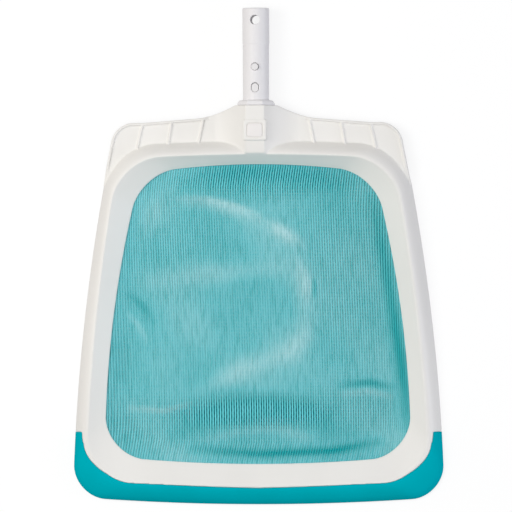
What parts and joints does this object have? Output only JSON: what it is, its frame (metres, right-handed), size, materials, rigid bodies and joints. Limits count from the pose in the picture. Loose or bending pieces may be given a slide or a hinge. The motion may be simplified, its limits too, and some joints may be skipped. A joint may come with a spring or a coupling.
{
  "type": "leaf skimmer net",
  "caption": "Flat pool leaf skimmer head: moulded white hoop with wings and a neck, slack teal net, soft teal mouth lip and a hollow spigot with a spring clip for a pole.",
  "frame": {"origin": "middle of the footprint on the surface the skimmer lies on", "axes": "+X to the right seen from the front face, +Y along the handle tube towards the pole, +Z out of the front face, up as it lies on its back"},
  "size_m": [0.3966, 0.53, 0.0379],
  "materials": {
    "frame": "satin moulded polypropylene",
    "ring": "satin moulded polypropylene",
    "net": "knitted nylon net",
    "lip": "soft moulded elastomer",
    "tube": "satin moulded plastic",
    "clip": "satin moulded acetal",
    "badge": "bare smooth square"
  },
  "bodies": {
    "head": {"frame_shell": "frame", "net_ring": "ring", "net_mesh": "net", "scraper_lip": "lip", "badge_panel": "badge", "handle_tube": "tube", "clip_bend": "clip"},
    "front_leg": {"clip_front_leg": "clip"},
    "rear_leg": {"clip_rear_leg": "clip"}
  },
  "joints": [
    {"name": "front_button_press", "type": "hinge", "parent": "head", "child": "front_leg", "pos_m": [0, 0.1553, 0.0222], "axis": [-1, 0, 0], "range_deg": [0, 3.6], "stiffness_Nm_per_rad": 2, "springref_deg": -2.86},
    {"name": "rear_button_press", "type": "hinge", "parent": "head", "child": "rear_leg", "pos_m": [0, 0.1553, 0.0158], "axis": [1, 0, 0], "range_deg": [0, 3.6], "stiffness_Nm_per_rad": 2, "springref_deg": -2.86}
  ]
}
